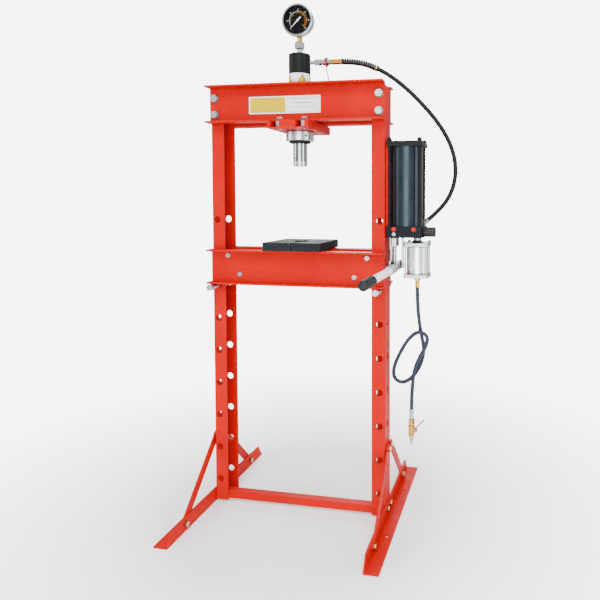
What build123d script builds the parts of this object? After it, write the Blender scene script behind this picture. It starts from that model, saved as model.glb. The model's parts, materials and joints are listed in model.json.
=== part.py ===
from build123d import *
import math
import os

# Hydraulic shop press. Millimetres, +Z up, the floor at Z = 0.
# X runs across the frame, -Y is the operator's side, and the origin is the middle of the four floor anchor holes.

os.makedirs("parts", exist_ok=True)

# ---------------------------------------------------------------- driving dimensions

frame_half_width = 320.0
upright_depth = 84.0
upright_flange = 48.0
upright_plate = 5.0
upright_foot_gap = 8.0
upright_top = 1500.0

beam_height = 130.0
beam_flange = 46.0
beam_plate = 6.0
beam_top = 1510.0

hole_pitch = 119.0
hole_count = 9
top_hole_height = 1039.0
hole_inset = 20.0
hole_radius = 12.0
pin_radius = 11.0
pin_length = 214.0
rest_hole = 2
first_web_hole = 3
last_web_hole = 6

bed_height = 122.0
bed_gap = 0.5
arbor_size = (101.0, 214.0, 29.0)
arbor_setback = 10.0
arbor_gap = 3.0
arbor_notch_radius = 31.0

head_plate_size = (146.0, 238.0, 28.0)
head_bolt_x = 45.0
head_bolt_y = 74.0
head_nut_height = 22.0
head_notch_width = 33.0
head_notch_wall = 4.0
ram_radius = 38.0
ram_bore_radius = 31.0
ram_top = 1623.0
ram_foot = 1318.0
rod_radius = 25.0
rod_end = 1248.0
nose_end = 1230.0
ram_stroke = 185.0
port_height = 1593.0

gauge_height = 1738.0
gauge_radius = 57.0

foot_half_length = 340.0
foot_height = 48.0
foot_width = 50.0
foot_plate = 5.0
anchor_half_spacing = (350.0, 146.0)
brace_width = 30.0
brace_top = (20.0, 240.0)
brace_foot = (235.0, 24.0)

pump_x = 388.0
pump_width = 122.0
pump_floor = 984.0
pump_block_height = 38.0
reservoir_radius = 55.0
reservoir_height = 270.0
pump_rod_offset = 51.0

motor_x = 427.0
motor_y = -12.0
motor_width = 84.0
motor_floor = 847.0
motor_top = 966.0

lever_x = 352.0
lever_pivot = (5.0, 885.0)
lever_arm = 40.0
handle_height = 879.0
handle_end = -450.0

knob_y = -25.0
knob_z = 1003.0

hose_radius = 7.5
air_hose_radius = 6.6
strap_radius = 2.0

# ---------------------------------------------------------------- derived places

web_outer = frame_half_width
flange_face = upright_depth / 2
beam_web_face = flange_face + beam_plate
beam_edge = flange_face + beam_flange
beam_bottom = beam_top - beam_height
hole_heights = [top_hole_height - hole_pitch * k for k in range(hole_count)]
pin_height = hole_heights[rest_hole]
pin_x = frame_half_width - hole_inset
bed_bottom = pin_height + pin_radius
bed_top = bed_bottom + bed_height
plate_bottom = beam_bottom - head_plate_size[2]
pump_roof = pump_floor + pump_block_height
reservoir_top = pump_roof + reservoir_height
pump_right = pump_x + pump_width / 2

# ---------------------------------------------------------------- shared shapes


def save(part, name):
    part.label = name
    export_step(part, f"parts/{name}.step")


def group(pieces):
    return Compound(children=list(pieces))


def channel_profile(depth, flange, plate):
    """A folded channel, its web on the local Y axis and its flanges towards local +X."""
    inner = depth / 2 - plate
    with BuildLine() as line:
        Polyline(
            (0, -depth / 2),
            (flange, -depth / 2),
            (flange, -inner),
            (plate, -inner),
            (plate, inner),
            (flange, inner),
            (flange, depth / 2),
            (0, depth / 2),
            close=True,
        )
    return line.line


def folded_channel(plane, length, depth, flange, plate):
    """A channel of folded plate, rounded at its two bends inside and out."""
    with BuildPart() as channel:
        with BuildSketch(plane) as profile:
            make_face(channel_profile(depth, flange, plate))
        extrude(amount=length)
        along = channel.edges().filter_by(Axis(plane.origin, plane.z_dir))
        web_plane = sorted(along, key=lambda e: abs((e.center() - plane.origin).dot(plane.x_dir)))
        fillet(web_plane[:2], plate * 0.9)
    return channel.part


def hex_bolt(plane, across, head, shank_radius, shank):
    """A hexagon head on the plane's positive side and a plain shank on the other."""
    with BuildPart() as bolt:
        with BuildSketch(plane):
            RegularPolygon(across / 2, 6, major_radius=False)
        extrude(amount=head)
        crown = bolt.faces().sort_by(Axis(plane.origin, plane.z_dir))[-1]
        chamfer(crown.edges(), across * 0.035)
        with BuildSketch(plane):
            Circle(shank_radius)
        extrude(amount=-shank)
    return bolt.part


def hex_nut(plane, across, thickness, bore):
    with BuildPart() as nut:
        with BuildSketch(plane):
            RegularPolygon(across / 2, 6, major_radius=False)
            Circle(bore, mode=Mode.SUBTRACT)
        extrude(amount=thickness)
    return nut.part


def ring(plane, outer, inner, thickness):
    with BuildPart() as washer:
        with BuildSketch(plane):
            Circle(outer)
            Circle(inner, mode=Mode.SUBTRACT)
        extrude(amount=thickness)
    return washer.part


def rod(plane, radius, length, edge=0.0):
    with BuildPart() as bar:
        with BuildSketch(plane):
            Circle(radius)
        extrude(amount=length)
        if edge > 0:
            chamfer(bar.edges(), edge)
    return bar.part


def box(size, low):
    """A plain block from its lowest corner."""
    with BuildPart() as block:
        with BuildSketch(Plane((low[0] + size[0] / 2, low[1] + size[1] / 2, low[2]))):
            Rectangle(size[0], size[1])
        extrude(amount=size[2])
    return block.part


def facing(point, direction, across=(1, 0, 0)):
    """A plane at point whose normal is direction."""
    return Plane(origin=point, x_dir=across, z_dir=direction)


FRONT = (0, -1, 0)
BACK = (0, 1, 0)
RIGHT = (1, 0, 0)
LEFT = (-1, 0, 0)
UP = (0, 0, 1)
DOWN = (0, 0, -1)

# ---------------------------------------------------------------- frame uprights


def upright(side):
    """side is -1 for the left upright and +1 for the right; the web is outboard."""
    start = Plane(
        origin=(side * frame_half_width, 0, upright_foot_gap),
        x_dir=(-side, 0, 0),
        z_dir=UP,
    )
    length = upright_top - upright_foot_gap
    with BuildPart() as post:
        add(folded_channel(start, length, upright_depth, upright_flange, upright_plate))
        for height in hole_heights:
            with BuildSketch(facing((side * pin_x, -flange_face - 1, height), BACK)):
                Circle(hole_radius)
            extrude(amount=upright_depth + 2, mode=Mode.SUBTRACT)
        for height in hole_heights[first_web_hole : last_web_hole + 1]:
            add(web_hole(side, 0, height, hole_radius), mode=Mode.SUBTRACT)
        for y in (-brace_top[0], brace_top[0]):
            add(web_hole(side, y, brace_top[1], 5.2), mode=Mode.SUBTRACT)
            add(web_hole(side, y, foot_bolt_height, 5.2), mode=Mode.SUBTRACT)
        for bolt_z in beam_bolt_heights:
            with BuildSketch(facing((side * beam_bolt_x, -flange_face - 1, bolt_z), BACK)):
                Circle(8.2)
            extrude(amount=upright_depth + 2, mode=Mode.SUBTRACT)
        if side > 0:
            for y, z in bracket_bolts:
                add(web_hole(side, y, z, 4.2), mode=Mode.SUBTRACT)
    return post.part


def web_hole(side, y, z, radius):
    """The round bar that a hole through the upright's web takes away."""
    start = facing((side * (frame_half_width + 1), y, z), (-side, 0, 0), (0, 1, 0))
    return rod(start, radius, upright_plate + 2)


foot_bolt_height = 26.0
beam_bolt_heights = (1412.0, 1470.0)
beam_bolt_x = 300.0
bracket_bolts = [(y, z) for y in (-18.0, 18.0) for z in (1060.0, 1250.0)]

save(upright(-1), "upright_left")
save(upright(1), "upright_right")

# ---------------------------------------------------------------- top beams



def top_beam(face):
    """face is -1 for the front beam and +1 for the rear; the flanges point away from the frame."""
    start = Plane(
        origin=(-frame_half_width, face * flange_face, beam_bottom + beam_height / 2),
        x_dir=(0, face, 0),
        z_dir=RIGHT,
    )
    with BuildPart() as beam:
        add(folded_channel(start, 2 * frame_half_width, beam_height, beam_flange, beam_plate))
        for x in (-beam_bolt_x, beam_bolt_x):
            for z in beam_bolt_heights:
                with BuildSketch(facing((x, face * (flange_face - 1), z), (0, face, 0))):
                    Circle(8.2)
                extrude(amount=beam_plate + 2, mode=Mode.SUBTRACT)
        for x in (-head_bolt_x, head_bolt_x):
            with BuildSketch(Plane((x, face * head_bolt_y, beam_bottom - 1))):
                Circle(6.2)
            extrude(amount=beam_plate + 2, mode=Mode.SUBTRACT)
    return beam.part


save(top_beam(-1), "top_beam_front")
save(top_beam(1), "top_beam_rear")


def beam_bolts():
    """Bolt, washer and nut at each of the eight beam holes, as a list of pieces."""
    pieces = []
    for face in (-1, 1):
        for x in (-beam_bolt_x, beam_bolt_x):
            for z in beam_bolt_heights:
                outside = (x, face * beam_web_face, z)
                under_head = (x, face * (beam_web_face + 3), z)
                inside = (x, face * (flange_face - upright_plate), z)
                pieces.append(ring(facing(outside, (0, face, 0)), 15, 8.2, 3))
                pieces.append(hex_bolt(facing(under_head, (0, face, 0)), 24, 10, 8, 32))
                pieces.append(hex_nut(facing(inside, (0, -face, 0)), 24, 13, 8.1))
    return pieces


# ---------------------------------------------------------------- head plate and ram

notch_floor = plate_bottom + head_notch_wall

with BuildPart() as head_plate:
    with BuildSketch(Plane.XY.offset(plate_bottom)):
        Rectangle(head_plate_size[0], head_plate_size[1])
    extrude(amount=head_plate_size[2])
    chamfer(head_plate.edges().filter_by(Axis.Z), 3)
    with BuildSketch(Plane.XY.offset(plate_bottom)):
        Circle(ram_radius + 0.1)
    extrude(amount=head_plate_size[2], mode=Mode.SUBTRACT)
    for face in (-1, 1):
        edge_y = face * head_plate_size[1] / 2
        with BuildSketch(Plane.XY.offset(notch_floor)):
            with Locations((-head_bolt_x, edge_y), (head_bolt_x, edge_y)):
                Rectangle(head_notch_width, head_plate_size[1] - 2 * head_bolt_y + head_notch_width)
        extrude(amount=head_plate_size[2], mode=Mode.SUBTRACT)
        with BuildSketch(Plane.XY.offset(plate_bottom)):
            with Locations((-head_bolt_x, face * head_bolt_y), (head_bolt_x, face * head_bolt_y)):
                Circle(6.1)
        extrude(amount=head_plate_size[2], mode=Mode.SUBTRACT)
save(head_plate.part, "head_plate")


def head_bolts():
    """Each bolt hangs from the beam's lower flange, is jammed by a nut and screws into the plate."""
    pieces = []
    for face in (-1, 1):
        for x in (-head_bolt_x, head_bolt_x):
            top = (x, face * head_bolt_y, beam_bottom + beam_plate)
            below = (x, face * head_bolt_y, beam_bottom)
            pieces.append(hex_bolt(Plane(top), 19, 8, 6, beam_plate + head_plate_size[2]))
            pieces.append(hex_nut(facing(below, DOWN), 27, head_nut_height, 6.1))
    return pieces


cylinder_roof = 15.0
stem_radius = 9.0
stem_thread_radius = 6.0
pipe_radius = 6.0

with BuildPart() as ram_cylinder:
    with BuildSketch(Plane.XY.offset(ram_foot)):
        Circle(ram_radius)
    extrude(amount=ram_top - ram_foot)
    chamfer(ram_cylinder.edges().group_by(Axis.Z)[-1], 2.5)
    with BuildSketch(Plane.XY.offset(ram_foot)):
        Circle(ram_bore_radius)
    extrude(amount=ram_top - ram_foot - cylinder_roof, mode=Mode.SUBTRACT)
    with BuildSketch(Plane.XY.offset(ram_top - cylinder_roof - 1)):
        Circle(stem_thread_radius)
    extrude(amount=cylinder_roof + 2, mode=Mode.SUBTRACT)
    with BuildSketch(facing((ram_bore_radius - 3, 0, port_height), RIGHT, (0, 1, 0))):
        Circle(pipe_radius)
    extrude(amount=12, mode=Mode.SUBTRACT)
save(ram_cylinder.part, "ram_cylinder")

lock_ring_radius = 49.0

with BuildPart() as ram_lock_ring:
    with BuildSketch(Plane.XY.offset(ram_foot)):
        Circle(lock_ring_radius)
    extrude(amount=plate_bottom - ram_foot)
    chamfer(ram_lock_ring.edges(), 1.5)
    with BuildSketch(Plane.XY.offset(ram_foot)):
        Circle(ram_radius + 0.1)
    extrude(amount=plate_bottom - ram_foot, mode=Mode.SUBTRACT)
    for turn in range(4):
        spanner = Plane.XY.rotated((0, 0, 45 + 90 * turn))
        outward = spanner.x_dir
        seat = Vector(0, 0, (ram_foot + plate_bottom) / 2) + outward * (lock_ring_radius + 1)
        with BuildSketch(Plane(origin=seat, z_dir=outward * -1)):
            Circle(4)
        extrude(amount=7, mode=Mode.SUBTRACT)
save(ram_lock_ring.part, "ram_lock_ring")

gland_flange_radius = 36.5
gland_flange = 7.0
gland_top = ram_foot + 42.0

with BuildPart() as rod_gland:
    with BuildSketch(Plane.XY.offset(ram_foot - gland_flange)):
        Circle(gland_flange_radius)
    extrude(amount=gland_flange)
    with BuildSketch(Plane.XY.offset(ram_foot)):
        Circle(ram_bore_radius - 0.1)
    extrude(amount=gland_top - ram_foot)
    with BuildSketch(Plane.XY.offset(ram_foot - gland_flange)):
        Circle(rod_radius + 0.06)
    extrude(amount=gland_top - ram_foot + gland_flange, mode=Mode.SUBTRACT)
save(rod_gland.part, "rod_gland")

piston_bottom = 1588.0
piston_height = 16.0
spigot_radius = 10.0
spigot_height = 22.0

with BuildPart() as ram_piston:
    with BuildSketch(Plane.XY.offset(rod_end)):
        Circle(rod_radius)
    extrude(amount=piston_bottom - rod_end)
    with BuildSketch(Plane.XY.offset(piston_bottom)):
        Circle(ram_bore_radius - 0.08)
    extrude(amount=piston_height)
    with BuildSketch(Plane.XY.offset(rod_end)):
        Circle(spigot_radius + 0.1)
    extrude(amount=spigot_height + 1, mode=Mode.SUBTRACT)
    with BuildSketch(facing((-7, -rod_radius - 1, rod_end + 10), BACK)):
        Circle(3.5)
    extrude(amount=16, mode=Mode.SUBTRACT)
save(ram_piston.part, "ram_piston")

with BuildPart() as ram_nose:
    with BuildSketch(Plane.XY.offset(nose_end)):
        Circle(rod_radius)
    extrude(amount=rod_end - nose_end)
    chamfer(ram_nose.edges(), 1.5)
    with BuildSketch(Plane.XY.offset(rod_end - 1)):
        Circle(spigot_radius)
    extrude(amount=spigot_height + 1)
save(ram_nose.part, "ram_nose")

spring_radius = 28.1
spring_wire = 1.8
spring_turns = 11
spring_foot = gland_top + spring_wire + 0.2
spring_length = piston_bottom - gland_top - 2 * spring_wire - 0.4

with BuildPart() as return_spring:
    with BuildLine() as coil:
        Helix(spring_length / spring_turns, spring_length, spring_radius, center=(0, 0, spring_foot))
    with BuildSketch(Plane(origin=coil.line @ 0, z_dir=coil.line % 0)):
        Circle(spring_wire)
    sweep()
save(return_spring.part, "return_spring")

# ---------------------------------------------------------------- pressure gauge

stem_top = ram_top + 20.0
gauge_nut_top = stem_top + 22.0
case_radius = 52.0
case_front = -13.0
case_back = 14.0
bezel_front = -25.0
bezel_lap = 3.0
fitting_half_width = 9.5
fitting_top = gauge_height - case_radius + 3.0

with BuildPart() as gauge_stem:
    with BuildSketch(Plane.XY.offset(ram_top)):
        Circle(stem_radius)
    extrude(amount=stem_top - ram_top)
    with BuildSketch(Plane.XY.offset(ram_top - cylinder_roof + 3)):
        Circle(stem_thread_radius - 0.1)
    extrude(amount=cylinder_roof - 2)
    with BuildSketch(Plane.XY.offset(stem_top)):
        RegularPolygon(16, 6, major_radius=False)
    extrude(amount=gauge_nut_top - stem_top)
    chamfer(gauge_stem.faces().sort_by(Axis.Z)[-1].edges(), 2)
save(gauge_stem.part, "gauge_stem")

with BuildPart() as gauge_fitting:
    with BuildSketch(Plane.XY.offset(gauge_nut_top)):
        RegularPolygon(fitting_half_width, 8, major_radius=False)
    extrude(amount=fitting_top - gauge_nut_top)
save(gauge_fitting.part, "gauge_fitting")

with BuildPart() as gauge_case:
    with BuildSketch(facing((0, case_back, gauge_height), FRONT)):
        Circle(case_radius)
    extrude(amount=case_back - case_front)
    fillet(gauge_case.faces().sort_by(Axis.Y)[-1].edges(), 6)
    with BuildSketch(facing((0, case_front, gauge_height), BACK)):
        Circle(case_radius - 2.5)
    extrude(amount=case_back - case_front - 3, mode=Mode.SUBTRACT)
    with BuildSketch(Plane.XY.offset(gauge_height - case_radius - 5)):
        RegularPolygon(fitting_half_width, 8, major_radius=False)
    extrude(amount=8, mode=Mode.SUBTRACT)
save(gauge_case.part, "gauge_case")

with BuildPart() as gauge_bezel:
    with BuildSketch(facing((0, case_front + bezel_lap, gauge_height), FRONT)):
        Circle(gauge_radius)
        Circle(case_radius + 0.2, mode=Mode.SUBTRACT)
    extrude(amount=bezel_lap)
    with BuildSketch(facing((0, case_front, gauge_height), FRONT)):
        Circle(gauge_radius)
        Circle(case_radius - 2.5, mode=Mode.SUBTRACT)
    extrude(amount=case_front - bezel_front)
    fillet(gauge_bezel.faces().sort_by(Axis.Y)[0].outer_wire().edges(), 4)
save(gauge_bezel.part, "gauge_bezel")

dial_radius = case_radius - 2.7
dial_face = case_front - 1.5
pointer_face = dial_face - 3.0

with BuildPart() as gauge_dial:
    with BuildSketch(facing((0, case_front, gauge_height), FRONT)):
        Circle(dial_radius)
    extrude(amount=1.5)
    with BuildSketch(facing((0, dial_face, gauge_height), FRONT)):
        Circle(1.5)
    extrude(amount=5)
save(gauge_dial.part, "gauge_dial")

with BuildPart() as gauge_glass:
    with BuildSketch(facing((0, bezel_front + 4, gauge_height), FRONT)):
        Circle(dial_radius)
    extrude(amount=2)
save(gauge_glass.part, "gauge_glass")

needle_rest = 225.0
needle_tip = 38.0
needle_tail = 15.0

with BuildPart() as gauge_needle:
    with BuildSketch(facing((0, pointer_face, gauge_height), FRONT)):
        with BuildLine(Rotation(0, 0, needle_rest)):
            Polyline(
                (-needle_tail, -2.2),
                (0, -1.8),
                (needle_tip, 0),
                (0, 1.8),
                (-needle_tail, 2.2),
                close=True,
            )
        make_face()
        Circle(4)
        Circle(1.55, mode=Mode.SUBTRACT)
    extrude(amount=1)
save(gauge_needle.part, "gauge_needle")

# ---------------------------------------------------------------- name plate

name_plate_size = (263.0, 60.0)

with BuildPart() as name_plate:
    with BuildSketch(facing((-38, -beam_web_face, 1441), FRONT)):
        RectangleRounded(name_plate_size[0], name_plate_size[1], 2)
    extrude(amount=1)
save(name_plate.part, "name_plate")

# ---------------------------------------------------------------- bed

bed_rod_places = [(-257.0, 911.0), (257.0, 911.0), (-212.0, 844.0), (212.0, 844.0)]
bed_rod_radius = 9.0
bed_web_inner = flange_face + bed_gap
bed_web_outer = bed_web_inner + beam_plate


def bed_channel(face):
    """face is -1 for the front channel and +1 for the rear; the flanges point outwards."""
    start = Plane(
        origin=(-frame_half_width, face * bed_web_inner, bed_bottom + bed_height / 2),
        x_dir=(0, face, 0),
        z_dir=RIGHT,
    )
    with BuildPart() as channel:
        add(folded_channel(start, 2 * frame_half_width, bed_height, beam_flange, beam_plate))
        for x, z in bed_rod_places:
            with BuildSketch(facing((x, face * (bed_web_inner - 1), z), (0, face, 0))):
                Circle(bed_rod_radius)
            extrude(amount=beam_plate + 2, mode=Mode.SUBTRACT)
    return channel.part


save(bed_channel(-1), "bed_channel_front")
save(bed_channel(1), "bed_channel_rear")


def bed_rods():
    """Through rods with a spacer tube on each, which hold the two channels apart."""
    pieces = []
    reach = bed_web_outer + 2
    for x, z in bed_rod_places:
        pieces.append(rod(facing((x, -reach, z), BACK), bed_rod_radius, 2 * reach, 1))
        spacer = facing((x, -bed_web_inner, z), BACK)
        pieces.append(ring(spacer, bed_rod_radius + 3, bed_rod_radius + 0.1, 2 * bed_web_inner))
    return group(pieces)


save(bed_rods(), "bed_rods")


def arbor_plate(side):
    width, depth, height = arbor_size
    middle = side * (arbor_gap + width) / 2
    with BuildPart() as plate:
        with BuildSketch(Plane((middle, arbor_setback, bed_top))):
            Rectangle(width, depth)
        extrude(amount=height)
        chamfer(plate.edges(), 1.5)
        with BuildSketch(Plane((0, 0, bed_top - 1))):
            Circle(arbor_notch_radius)
        extrude(amount=height + 2, mode=Mode.SUBTRACT)
    return plate.part


save(arbor_plate(-1), "arbor_plate_left")
save(arbor_plate(1), "arbor_plate_right")

for side, name in ((-1, "bed_pin_left"), (1, "bed_pin_right")):
    pin_start = facing((side * pin_x, -pin_length / 2, pin_height), BACK)
    save(rod(pin_start, pin_radius, pin_length, 2), name)

# ---------------------------------------------------------------- feet, braces and cross tie

end_slope = 30.0


def foot(side):
    """An angle laid fore and aft, its upright leg against the web and sloped off at both ends."""
    x = side * web_outer
    with BuildPart() as angle:
        with BuildSketch(facing((x, 0, 0), (side, 0, 0), (0, 1, 0))):
            with BuildLine():
                Polyline(
                    (-foot_half_length, 0),
                    (foot_half_length, 0),
                    (foot_half_length, side * foot_plate),
                    (foot_half_length - end_slope, side * foot_height),
                    (-foot_half_length + end_slope, side * foot_height),
                    (-foot_half_length, side * foot_plate),
                    close=True,
                )
            make_face()
        extrude(amount=foot_plate)
        with BuildSketch(Plane((x + side * foot_width / 2, 0, 0))):
            Rectangle(foot_width, 2 * foot_half_length)
        extrude(amount=foot_plate)
        for y in (-anchor_half_spacing[1], anchor_half_spacing[1]):
            with BuildSketch(Plane((side * anchor_half_spacing[0], y, -1))):
                Circle(5.5)
            extrude(amount=foot_plate + 2, mode=Mode.SUBTRACT)
        bolt_places = [
            (-brace_foot[0], brace_foot[1]),
            (brace_foot[0], brace_foot[1]),
            (-brace_top[0], foot_bolt_height),
            (brace_top[0], foot_bolt_height),
        ]
        for y, z in bolt_places:
            with BuildSketch(facing((x - side, y, z), (side, 0, 0), (0, 1, 0))):
                Circle(5.2)
            extrude(amount=foot_plate + 2, mode=Mode.SUBTRACT)
    return angle.part


save(foot(-1), "foot_left")
save(foot(1), "foot_right")

brace_plate = 5.0
brace_overrun = 11.0
brace_run = brace_foot[0] - brace_top[0]
brace_drop = brace_top[1] - brace_foot[1]
brace_length = math.hypot(brace_run, brace_drop)
brace_tilt = math.degrees(math.atan2(brace_drop, brace_run))


def brace(side, face):
    """A flat bar from the upright down to the foot, on the outside of the foot's upright leg."""
    middle = (
        side * (web_outer + foot_plate),
        face * (brace_top[0] + brace_foot[0]) / 2,
        (brace_top[1] + brace_foot[1]) / 2,
    )
    along = (0, face * brace_run, -brace_drop)
    with BuildPart() as bar:
        with BuildSketch(facing(middle, (side, 0, 0), along)):
            Rectangle(brace_length + 2 * brace_overrun, brace_width)
            with Locations((-brace_length / 2, 0), (brace_length / 2, 0)):
                Circle(5.2, mode=Mode.SUBTRACT)
        extrude(amount=brace_plate)
    return bar.part


def braces(side):
    """The front and rear brace of one side, with the spacers that stand them off the web."""
    pieces = [brace(side, -1), brace(side, 1)]
    for y in (-brace_top[0], brace_top[0]):
        spacer = facing((side * web_outer, y, brace_top[1]), (side, 0, 0), (0, 1, 0))
        pieces.append(ring(spacer, 11, 5.2, foot_plate))
    return pieces


save(group(braces(-1) + braces(1)), "foot_braces")

tie_face = -36.0
tie_back = -8.0
tie_plate = 4.0
tie_floor = 12.0
tie_roof = 40.0
tie_half_length = frame_half_width - upright_plate

with BuildPart() as cross_tie:
    with BuildSketch(facing((-tie_half_length, 0, 0), RIGHT, (0, 1, 0))):
        with BuildLine():
            Polyline(
                (tie_face, tie_floor),
                (tie_face + tie_plate, tie_floor),
                (tie_face + tie_plate, tie_roof - tie_plate),
                (tie_back, tie_roof - tie_plate),
                (tie_back, tie_roof),
                (tie_face, tie_roof),
                close=True,
            )
        make_face()
    extrude(amount=2 * tie_half_length)
    for side in (-1, 1):
        tab = Plane((side * (tie_half_length - tie_plate / 2), (tie_face + tie_back) / 2, tie_floor))
        with BuildSketch(tab):
            Rectangle(tie_plate, tie_back - tie_face)
        extrude(amount=tie_roof - tie_floor - 1)
        hole_start = (side * (tie_half_length - 2 * tie_plate), -brace_top[0], foot_bolt_height)
        with BuildSketch(facing(hole_start, (side, 0, 0), (0, 1, 0))):
            Circle(5.2)
        extrude(amount=2 * tie_plate + 1, mode=Mode.SUBTRACT)
save(cross_tie.part, "cross_tie")


def side_bolt(side, y, z, outer, inner):
    """A bolt along X: its head on the face at outer and its nut on the face at inner."""
    head = facing((side * outer, y, z), (side, 0, 0), (0, 1, 0))
    nut = facing((side * inner, y, z), (-side, 0, 0), (0, 1, 0))
    reach = outer - inner + 9
    return [hex_bolt(head, 16, 6.5, 5, reach), hex_nut(nut, 16, 8, 5.1)]


def base_bolts():
    pieces = []
    inner = frame_half_width - upright_plate
    for side in (-1, 1):
        for y in (-brace_top[0], brace_top[0]):
            brace_face = web_outer + foot_plate + brace_plate
            pieces += side_bolt(side, y, brace_top[1], brace_face, inner)
            tab = tie_plate if y < 0 else 0
            pieces += side_bolt(side, y, foot_bolt_height, web_outer + foot_plate, inner - tab)
        for y in (-brace_foot[0], brace_foot[0]):
            pieces += side_bolt(side, y, brace_foot[1], brace_face, web_outer)
    return group(pieces)


save(base_bolts(), "base_bolts")

# ---------------------------------------------------------------- pump body

bracket_half_width = 30.0
pump_left = pump_x - pump_width / 2
reservoir_cap_height = 17.0
pump_nut_height = 9.0

with BuildPart() as pump_bracket:
    with BuildSketch(facing((web_outer, 0, pump_floor + 6), UP)):
        with Locations((-(web_outer - pump_left) / 2, 0)):
            Rectangle(pump_left - web_outer, 2 * bracket_half_width)
    extrude(amount=reservoir_top + 10 - pump_floor - 6)
    for y, z in bracket_bolts:
        with BuildSketch(facing((web_outer - 1, y, z), RIGHT, (0, 1, 0))):
            Circle(4.2)
        extrude(amount=pump_left - web_outer + 2, mode=Mode.SUBTRACT)
save(pump_bracket.part, "pump_bracket")


def bracket_screws():
    """Cap screws from inside the upright, with a thin nut on the bracket's far face."""
    pieces = []
    for y, z in bracket_bolts:
        head = facing((web_outer - upright_plate, y, z), LEFT, (0, 1, 0))
        nut = facing((pump_left, y, z), RIGHT, (0, 1, 0))
        pieces.append(hex_bolt(head, 13, 5, 4, upright_plate + pump_left - web_outer + 2))
        pieces.append(hex_nut(nut, 10, 2, 4.1))
    return pieces


save(group(beam_bolts() + head_bolts() + bracket_screws()), "frame_bolts")

plug_places = [(-33.5, 1012.5), (34.0, 1012.5)]
block_screw = (354.0, 996.0)
plunger_bore = 7.1
plunger_y = lever_pivot[0] - lever_arm
stem_bore = 4.06
elbow_place = (439.0, 35.0)
link_offset = 19.5
link_plate = 5.0

with BuildPart() as pump_block:
    with BuildSketch(Plane((pump_x, 0, pump_floor))):
        Rectangle(pump_width, pump_width)
    extrude(amount=pump_block_height)
    chamfer(pump_block.edges().filter_by(Axis.Z), 2)
    with BuildSketch(Plane((lever_x, plunger_y, pump_floor - 1))):
        Circle(plunger_bore)
    extrude(amount=29, mode=Mode.SUBTRACT)
    with BuildSketch(facing((pump_right + 1, knob_y, knob_z), LEFT, (0, 1, 0))):
        Circle(stem_bore)
    extrude(amount=31, mode=Mode.SUBTRACT)
    for x, z in plug_places:
        with BuildSketch(facing((pump_x + x, -pump_width / 2 - 1, z), BACK)):
            Circle(5)
        extrude(amount=13, mode=Mode.SUBTRACT)
save(pump_block.part, "pump_block")

with BuildPart() as reservoir_tube:
    with BuildSketch(Plane((pump_x, 0, pump_roof))):
        Circle(reservoir_radius)
        Circle(reservoir_radius - 3, mode=Mode.SUBTRACT)
    extrude(amount=reservoir_height)
save(reservoir_tube.part, "reservoir_tube")

with BuildPart() as reservoir_cap:
    with BuildSketch(Plane((pump_x, 0, reservoir_top))):
        RectangleRounded(pump_width, pump_width, 5)
    extrude(amount=reservoir_cap_height)
    chamfer(reservoir_cap.faces().sort_by(Axis.Z)[-1].edges(), 1.5)
    with BuildSketch(Plane((pump_x, 0, reservoir_top))):
        with GridLocations(2 * pump_rod_offset, 2 * pump_rod_offset, 2, 2):
            Circle(4.7)
    extrude(amount=reservoir_cap_height, mode=Mode.SUBTRACT)
save(reservoir_cap.part, "reservoir_cap")


def pump_tie_rods():
    """Four rods from the block up through the cap, each with a domed nut."""
    pieces = []
    cap_top = reservoir_top + reservoir_cap_height
    for x in (-pump_rod_offset, pump_rod_offset):
        for y in (-pump_rod_offset, pump_rod_offset):
            foot_plane = Plane((pump_x + x, y, pump_roof))
            pieces.append(rod(foot_plane, 4.5, cap_top - pump_roof + 12))
            nut_plane = Plane((pump_x + x, y, cap_top))
            pieces.append(hex_nut(nut_plane, 14, pump_nut_height, 4.6))
    return group(pieces)


save(pump_tie_rods(), "tie_rods")


def block_plugs():
    """Two round plugs in the front of the block, each with a shallow driver recess."""
    pieces = []
    for x, z in plug_places:
        place = (pump_x + x, -pump_width / 2, z)
        with BuildPart() as plug:
            with BuildSketch(facing(place, FRONT)):
                Circle(7.5)
            extrude(amount=6)
            fillet(plug.faces().sort_by(Axis.Y)[0].edges(), 2)
            with BuildSketch(facing((place[0], place[1] - 6, z), BACK)):
                RegularPolygon(2.5, 6)
            extrude(amount=3, mode=Mode.SUBTRACT)
            with BuildSketch(facing(place, BACK)):
                Circle(4.9)
            extrude(amount=9)
        pieces.append(plug.part)
    return group(pieces)


save(block_plugs(), "block_plugs")

knob_radius = 17.0
knob_start = pump_right + 13.0
knob_length = 29.0
knob_ribs = 16

with BuildPart() as release_collar:
    with BuildSketch(facing((pump_right, knob_y, knob_z), RIGHT, (0, 1, 0))):
        RegularPolygon(10.5, 6, major_radius=False)
        Circle(stem_bore, mode=Mode.SUBTRACT)
    extrude(amount=12)

with BuildPart() as release_knob:
    with BuildSketch(facing((knob_start, knob_y, knob_z), RIGHT, (0, 1, 0))):
        Circle(knob_radius)
        with PolarLocations(knob_radius + 0.8, knob_ribs):
            Circle(1.9, mode=Mode.SUBTRACT)
    extrude(amount=knob_length)
    with BuildSketch(facing((knob_start, knob_y, knob_z), LEFT, (0, 1, 0))):
        Circle(4)
    extrude(amount=knob_start - pump_right + 28)
save(release_knob.part, "release_knob")

# ---------------------------------------------------------------- hand lever and plunger

plunger_pin = lever_pivot[1]

with BuildPart() as plunger_gland:
    with BuildSketch(Plane((lever_x, plunger_y, pump_floor - 29))):
        RegularPolygon(13, 6, major_radius=False)
        Circle(plunger_bore, mode=Mode.SUBTRACT)
    extrude(amount=29)

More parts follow.
